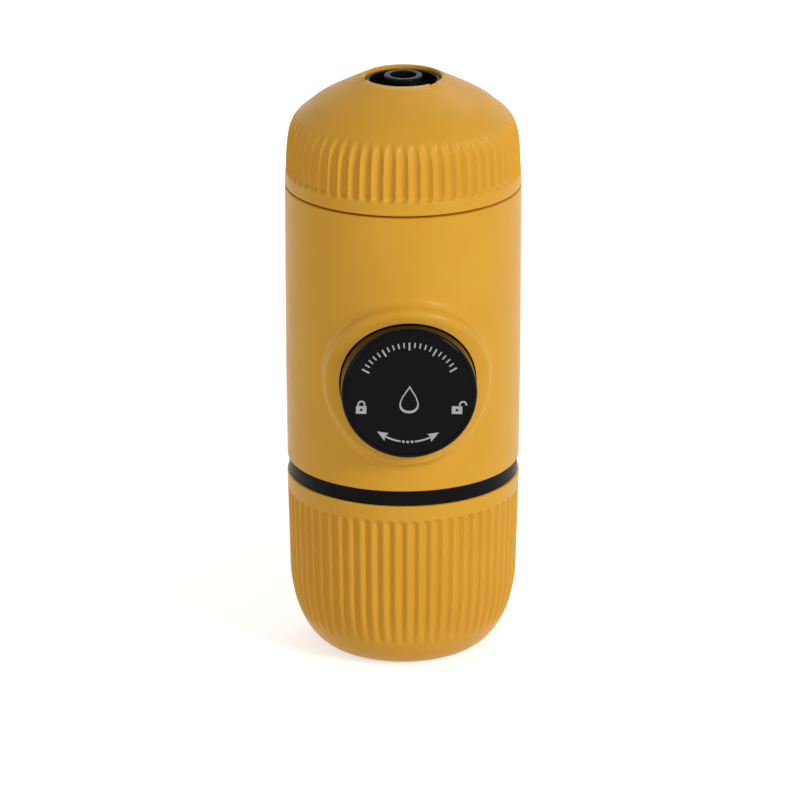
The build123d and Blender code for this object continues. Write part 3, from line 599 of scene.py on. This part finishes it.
pin_points, pin_faces = turn([
    (0.2, PLATE_TOP - PIN_SINK), (PIN_RADIUS, PLATE_TOP - PIN_SINK), (PIN_RADIUS, BRIDGE_TOP),
    (PIN_RADIUS - 0.1, BRIDGE_TOP + PIN_RISE / 2), (0.4, BRIDGE_TOP + PIN_RISE),
], PIN_CUTS, capped=True)
half_width = BRIDGE_WIDTH / 2
bar = [
    (-half_width, PLATE_TOP), (half_width, PLATE_TOP), (half_width, BRIDGE_TOP - BRIDGE_BEVEL),
    (half_width - BRIDGE_BEVEL, BRIDGE_TOP), (BRIDGE_BEVEL - half_width, BRIDGE_TOP),
    (-half_width, BRIDGE_TOP - BRIDGE_BEVEL),
]
bar_reach = SPOUT_BORE + BRIDGE_SINK
bar_points = [(side * bar_reach, y, z) for side in (-1, 1) for y, z in bar]
first, count = len(pin_points), len(bar)
bar_faces = []
for i in range(count):
    here, beside = first + i, first + (i + 1) % count
    bar_faces.append([beside, beside + count, here + count, here])
bar_faces += [[first + i for i in range(count)][::-1], [first + count + i for i in range(count)]]
bridge = build(
    "spout_bridge", np.vstack([pin_points, bar_points]), pin_faces + bar_faces,
    black_nylon, "outlet_head", "black_plastic",
)
print("bridge:", len(bridge.data.polygons), "faces")

# %% [markdown]
# ## Marks on the knob
# The knob's face is pad-printed round its edge: a double arrow below, because the knob is turned
# to lock it, a closed and an open padlock at the two sides, a row of scale lines above and a drop
# in the middle. The signs are plain ones of the builder's own. Filled 2D curves make them,
# because such a curve cuts its own holes and gets its thickness with one setting, and then they
# become one thin mesh that lies on the face.

# %% Helpers for printed outlines, in millimetres on the knob's face
RING_RADIUS = 13.05
LINE_WIDTH = 0.45
THIN_LINE = 0.36


def polar(radius, degrees):
    """A point at an angle from the right, seen from the front."""
    return radius * math.cos(math.radians(degrees)), radius * math.sin(math.radians(degrees))


def arc_band(middle, radius, width, start_deg, end_deg, steps=24):
    """Outline of a stroke that follows an arc."""
    span = [start_deg + (end_deg - start_deg) * i / steps for i in range(steps + 1)]
    outline = [polar(radius + width / 2, degrees) for degrees in span]
    outline += [polar(radius - width / 2, degrees) for degrees in span[::-1]]
    return [(middle[0] + x, middle[1] + y) for x, y in outline]


def circle(middle, radius, steps=24):
    """Outline of a round dot or hole."""
    spots = [polar(radius, 360 * i / steps) for i in range(steps)]
    return [(middle[0] + x, middle[1] + y) for x, y in spots]


def rectangle(left, low, right, high):
    """Outline of an upright rectangle."""
    return [(left, low), (right, low), (right, high), (left, high)]


def tick(degrees, inner, outer, width):
    """Outline of a short line along the radius."""
    along = Vector(polar(1, degrees))
    aside = Vector((-along.y, along.x)) * width / 2
    near, far = along * inner, along * outer
    return [tuple(corner) for corner in (near - aside, far - aside, far + aside, near + aside)]


# %% Signs for the knob
BOTTOM = -90
ARROW_START = math.degrees(1.85 / RING_RADIUS)
ARROW_END = 38  # degrees from the bottom to the tip
ARROW_HEAD = math.degrees(2.5 / RING_RADIUS)
ARROW_SPREAD = 1.2
ARROW_SWEEP = 2  # degrees by which the barbs lie behind the end of the shaft
LOCK_RING = RING_RADIUS - 0.1
LOCK_HALF_WIDTH = 1.35
LOCK_LOW, LOCK_HIGH = -1.55, 0.55
KEYHOLE_LOW, KEYHOLE_RADIUS = 0.5, 0.38
SHACKLE_RADIUS = 0.82
SHACKLE_RISE = 0.45
SHACKLE_SWING = 1.5  # how far the lifted shackle lies to the side
SHACKLE_HOOK = 10  # degrees that its free end goes on for
LEG_HALF_WIDTH = 0.22
DROP_CUTS = 64
DROP_SLIMNESS = 0.46
DROP_TAPER = 1.4


def arrow(direction):
    """A curved arrow along the bottom, from the middle towards one side."""
    neck = ARROW_END - ARROW_HEAD
    start_deg, neck_deg = BOTTOM + direction * ARROW_START, BOTTOM + direction * neck
    tip_deg, barb_deg = BOTTOM + direction * ARROW_END, BOTTOM + direction * (neck - ARROW_SWEEP)
    shaft = arc_band((0, 0), RING_RADIUS, LINE_WIDTH, start_deg, neck_deg)
    head = [
        polar(RING_RADIUS + ARROW_SPREAD, barb_deg), polar(RING_RADIUS, tip_deg),
        polar(RING_RADIUS - ARROW_SPREAD, barb_deg), polar(RING_RADIUS, neck_deg),
    ]
    return [shaft, head]


def padlock(degrees, lifted):
    """A padlock sign: a body with a keyhole and a shackle, which is swung aside when lifted."""
    x, y = polar(LOCK_RING, degrees)
    high = y + LOCK_HIGH
    body = rectangle(x - LOCK_HALF_WIDTH, y + LOCK_LOW, x + LOCK_HALF_WIDTH, high)
    keyhole = circle((x, y - KEYHOLE_LOW), KEYHOLE_RADIUS)
    middle = (x + (SHACKLE_SWING if lifted else 0), high + SHACKLE_RISE)
    free_end = -SHACKLE_HOOK if lifted else 0
    shackle = arc_band(middle, SHACKLE_RADIUS, LINE_WIDTH, free_end, 180)
    outlines = [body, keyhole, shackle]
    # The legs run a little into body and shackle, so that no gap is left between them.
    leg_low, leg_high = high - 0.1, middle[1] + 0.02
    for side in (-1,) if lifted else (-1, 1):
        leg = middle[0] + side * SHACKLE_RADIUS
        outlines.append(rectangle(leg - LEG_HALF_WIDTH, leg_low, leg + LEG_HALF_WIDTH, leg_high))
    return outlines


def drop(centre, height, grow):
    """Outline of a drop that is round below and pointed above, grown or shrunk by an amount."""
    points = []
    for i in range(DROP_CUTS):
        t = 2 * math.pi * i / DROP_CUTS
        x = (height * DROP_SLIMNESS + grow) * math.sin(t) * math.sin(t / 2) ** DROP_TAPER
        # A slender point needs a quarter more to keep the line as wide there as elsewhere.
        y = (height / 2 + grow * 1.25) * math.cos(t)
        points.append((centre[0] + x, centre[1] + y))
    return points


# %% Lay out the marks
DOT_PITCH, DOT_RADIUS = 1.13, 0.36
CLOSED_AT, OPEN_AT = 198, -16
TICKS, FIRST_TICK, TICK_PITCH = 21, 152, 6
TICK_OUTER, LONG_TICK_INNER, SHORT_TICK_INNER = 14.1, 12.0, 12.7
DROP_PLACE, DROP_HEIGHT, DROP_LINE = (0, -1.4), 7.6, 0.55

outlines = arrow(-1) + arrow(1)
for k in (-1, 0, 1):
    dot_deg = BOTTOM + math.degrees(k * DOT_PITCH / RING_RADIUS)
    outlines.append(circle(polar(RING_RADIUS, dot_deg), DOT_RADIUS))
outlines += padlock(CLOSED_AT, lifted=False) + padlock(OPEN_AT, lifted=True)
for i in range(TICKS):
    # Every fifth line of the scale is longer and bolder.
    inner, width = (SHORT_TICK_INNER, THIN_LINE) if i % 5 else (LONG_TICK_INNER, LINE_WIDTH)
    outlines.append(tick(FIRST_TICK - TICK_PITCH * i, inner, TICK_OUTER, width))
outlines += [drop(DROP_PLACE, DROP_HEIGHT, grow) for grow in (0, -DROP_LINE)]
print("marks:", len(outlines), "outlines")

# %% Print the marks
PRINT_TURN = math.radians(-2)
INK_THICKNESS = 0.01
INK_LIFT = 0.012

print_curve = bpy.data.curves.new("marks", "CURVE")
print_curve.dimensions = "2D"
print_curve.fill_mode = "BOTH"
print_curve.extrude = INK_THICKNESS
for outline in outlines:
    spline = print_curve.splines.new("POLY")
    spline.points.add(len(outline) - 1)
    for point, (x, y) in zip(spline.points, outline):
        point.co = (x, y, 0, 1)
    spline.use_cyclic_u = True
pattern = new_object("marks", print_curve)
filled = pattern.evaluated_get(bpy.context.evaluated_depsgraph_get())
flat = bpy.data.meshes.new_from_object(filled)
bpy.data.objects.remove(pattern)
cos_turn, sin_turn = math.cos(PRINT_TURN), math.sin(PRINT_TURN)
printed = []
for vertex in flat.vertices:
    x, y, depth = vertex.co
    turned_x, turned_y = x * cos_turn - y * sin_turn, x * sin_turn + y * cos_turn
    printed.append((turned_x, FACE_Y - INK_LIFT - depth, KNOB_Z + turned_y))
marks = build(
    "knob_marks", printed, [list(face.vertices) for face in flat.polygons], grey_ink, "pump_knob",
)
print("marks:", len(marks.data.polygons), "faces")

# %% [markdown]
# ## Screw threads
# Two necks carry coarse plastic threads: the brew neck takes the outlet head, and the tank's
# neck goes into the body. They only show when the machine is opened. The CAD necks are turned
# down to the root of the thread, so each ridge is a strip with a trapezoid section that climbs
# the neck to the right and runs out at both ends.

# %% Helper for threads
THREAD_FOOT = 0.3  # half the foot of a ridge, as a share of the pitch
THREAD_CREST = 0.4  # its crest, as a share of the foot
THREAD_SINK = 0.15  # how far it goes below the surface of the neck
THREAD_STEP = 4  # degrees between two rows of points
THREAD_RUN_OUT = 20  # degrees over which its height runs out
THREAD_THINNEST = 0.05  # share of the height that is left at its ends


def thread(name, root, crest, low, high, lead, starts, finish, body, slot):
    """Ridges from the root's radius to the crest's, climbing from low to high."""
    points, faces = [], []
    half_foot = lead / starts * THREAD_FOOT
    climb = high - low - 2 * half_foot
    span = 360 * climb / lead
    steps = round(span / THREAD_STEP)
    for start in range(starts):
        first = len(points)
        for i in range(steps + 1):
            done = i / steps
            angle = math.radians(360 * start / starts + span * done)
            run_out = min(1, min(done, 1 - done) * span / THREAD_RUN_OUT)
            top = root + (crest - root) * max(run_out, THREAD_THINNEST)
            middle = low + half_foot + climb * done
            profile = (
                (root - THREAD_SINK, -half_foot), (top, -half_foot * THREAD_CREST),
                (top, half_foot * THREAD_CREST), (root - THREAD_SINK, half_foot),
            )
            points += [(r * math.cos(angle), r * math.sin(angle), middle + up) for r, up in profile]
        for i in range(steps):
            low_ring, next_ring = first + 4 * i, first + 4 * (i + 1)
            faces += [
                [low_ring + k, next_ring + k, next_ring + (k + 1) % 4, low_ring + (k + 1) % 4]
                for k in range(4)
            ]
        faces.append([first, first + 1, first + 2, first + 3])
        last = first + 4 * steps
        faces.append([last + 3, last + 2, last + 1, last])
    return build(name, points, faces, finish, body, slot, smooth_angle=30)


# %% Wind the thread ridges
THREAD_DEPTH = 0.8
THREAD_LEAD_IN = 0.7
CREST_PLAY = 0.05
BREW_NECK = 25.0  # radius over the thread
BREW_NECK_FOOT = 1.0  # plain height between the seam and the thread
TANK_NECK = 24.0  # radius over the thread
TANK_BAND = 4.0  # height of the black band above the cup

brew_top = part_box("brew_head")[1].z / MM
brew_thread = thread(
    "brew_neck_thread", BREW_NECK - THREAD_DEPTH, BREW_NECK - CREST_PLAY,
    HEAD_Z + BREW_NECK_FOOT, brew_top - THREAD_LEAD_IN, lead=6.0, starts=2,
    finish=black_nylon, body="main_body", slot="black_plastic",
)
tank_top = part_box("water_tank")[1].z / MM
tank_root_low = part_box("drinking_cup")[1].z / MM + TANK_BAND + THREAD_LEAD_IN
tank_thread = thread(
    "tank_neck_thread", TANK_NECK - THREAD_DEPTH, TANK_NECK - CREST_PLAY,
    tank_root_low, tank_top - THREAD_LEAD_IN, lead=3.6, starts=3,
    finish=satin_black, body="tank", slot="tank_plastic",
)
for ridges in (brew_thread, tank_thread):
    print("thread:", ridges.name, "with", len(ridges.data.polygons), "faces")

# %% [markdown]
# ## Springs
# Two springs live inside: a wide one pushes the knob out, and a tiny one closes the outlet valve.
# A spring is a stiff wire between two bodies, its seat and the part it pushes. Here each is wound
# again as a fine coil in the box of its CAD piece, which is then hidden.

# %% Wind the two springs
STEPS_PER_TURN = 40
WIRE_SIDES = 12


def coil(name, node, axis, wire_radius, turns):
    """A coil in a node's box, wound from its high end down to its low end."""
    low, high = (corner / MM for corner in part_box(node))
    middle = (low + high) / 2
    radius = (high.x - low.x) / 2 - wire_radius
    length = high[axis] - low[axis] - 2 * wire_radius
    steps = turns * STEPS_PER_TURN
    rings = []
    for i in range(steps + 1):
        angle = 2 * math.pi * i / STEPS_PER_TURN
        for k in range(WIRE_SIDES):
            out = radius + wire_radius * math.cos(2 * math.pi * k / WIRE_SIDES)
            along = high[axis] - wire_radius - length * i / steps
            along += wire_radius * math.sin(2 * math.pi * k / WIRE_SIDES)
            point = [middle.x + out * math.cos(angle), middle[3 - axis] + out * math.sin(angle)]
            point.insert(axis, along)
            rings.append(point)
    faces = []
    for i in range(steps):
        here, there = i * WIRE_SIDES, (i + 1) * WIRE_SIDES
        for k in range(WIRE_SIDES):
            beside = (k + 1) % WIRE_SIDES
            faces.append([here + k, here + beside, there + beside, there + k])
    last = steps * WIRE_SIDES
    faces += [list(range(WIRE_SIDES))[::-1], [last + k for k in range(WIRE_SIDES)]]
    spring = build(name, rings, faces, stainless, slot="steel")
    start, end = middle.copy(), middle.copy()
    start[axis], end[axis] = high[axis] - 2 * wire_radius, low[axis] + 2 * wire_radius
    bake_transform(spring)
    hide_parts(node)
    print("spring:", name, "with", turns, "turns")


coil(
    "return_spring_wound", "return_spring", axis=1, wire_radius=0.8, turns=6,
)
coil(
    "valve_spring_wound", "outlet_valve_spring", axis=2, wire_radius=0.3, turns=4,
)

# %% [markdown]
# ## The stage
# A pale floor carries the shadow, and a big soft lamp from the front right does the modelling.
# A weaker lamp fills the left, two tall strips draw the pale lines down both edges, and a wide
# lamp behind keeps the back from going dark.
# White behind the object comes from floor and world as the camera and mirror rays see them,
# which adds nothing to the light on the object.


# %% Helpers for the stage
def seen_rays(tree):
    """One for camera, glossy and transmission rays, and nought for the rays that light things."""
    rays = add_node(tree, "ShaderNodeLightPath")
    mirrored = add_node(
        tree, "ShaderNodeMath", {"operation": "MAXIMUM"},
        {0: rays.outputs["Is Camera Ray"], 1: rays.outputs["Is Glossy Ray"]},
    )
    return add_node(
        tree, "ShaderNodeMath", {"operation": "MAXIMUM"},
        {0: mirrored.outputs[0], 1: rays.outputs["Is Transmission Ray"]},
    ).outputs[0]


def by_rays(tree, lighting, seen):
    """A strength that is one value for the rays that light things and another for the rest."""
    limits = {"To Min": lighting, "To Max": seen}
    return add_node(tree, "ShaderNodeMapRange", limits, {"Value": seen_rays(tree)}).outputs[0]


def soft_lamp(name, place, target, width, height, power):
    """A rectangular area lamp aimed at a point; places in metres, power in watts."""
    lamp_data = bpy.data.lights.new(name, "AREA")
    lamp_data.shape = "RECTANGLE"
    lamp_data.size = width
    lamp_data.size_y = height
    lamp_data.energy = power
    lamp = new_object(name, lamp_data)
    lamp.location = place
    lamp.rotation_euler = (Vector(target) - Vector(place)).to_track_quat("-Z", "Y").to_euler()


# %% Floor and background
FLOOR_HALF = 3
FLOOR_GLOW = 0.6
WORLD_LIGHT = 0.3
WORLD_SEEN = 1.0
WHITE = (1, 1, 1, 1)

floor_mesh = bpy.data.meshes.new("floor")
floor_mesh.from_pydata([
    (-FLOOR_HALF, -FLOOR_HALF, 0), (FLOOR_HALF, -FLOOR_HALF, 0),
    (FLOOR_HALF, FLOOR_HALF, 0), (-FLOOR_HALF, FLOOR_HALF, 0),
], [], [(0, 1, 2, 3)])
floor = new_object("floor", floor_mesh)
floor_paint, tree, shader, place = new_material("floor_paint_white", {"Roughness": 0.9})
tint(tree, shader, vary(tree, place, size_mm=40), "ECECEA", "F0F0EE")
glow = add_node(
    tree, "ShaderNodeEmission", {"Color": WHITE}, {"Strength": by_rays(tree, 0.0, FLOOR_GLOW)}
)
both = add_node(tree, "ShaderNodeAddShader", None, {0: shader.outputs[0], 1: glow.outputs[0]})
tree.links.new(both.outputs[0], tree.nodes["Material Output"].inputs["Surface"])
floor_mesh.materials.append(floor_paint)

world = bpy.data.worlds.new("studio")
world.use_nodes = True
bpy.context.scene.world = world
tree = world.node_tree
backdrop = tree.nodes["Background"]
backdrop.inputs["Color"].default_value = WHITE
tree.links.new(by_rays(tree, WORLD_LIGHT, WORLD_SEEN), backdrop.inputs["Strength"])
print("stage:", floor.name, "and", world.name)

# %% Lamps
MIDDLE = (0, 0, 0.08)
# Name, place, width and height in metres, and power in watts.
LAMPS = (
    ("key_lamp", (0.87, -0.87, 0.68), 0.3, 0.4, 9.6),
    ("fill_lamp", (-0.85, -1.0, 0.25), 0.4, 0.6, 2.2),
    ("right_strip", (0.7, 0.25, 0.2), 0.15, 0.9, 0.1),
    ("left_strip", (-0.7, 0.25, 0.2), 0.15, 0.9, 0.6),
    ("back_lamp", (0.3, 1.1, 1.15), 0.8, 0.6, 4.0),
)
for name, lamp_place, width, height, power in LAMPS:
    soft_lamp(name, lamp_place, MIDDLE, width, height, power)
print("lamps:", [lamp[0] for lamp in LAMPS])
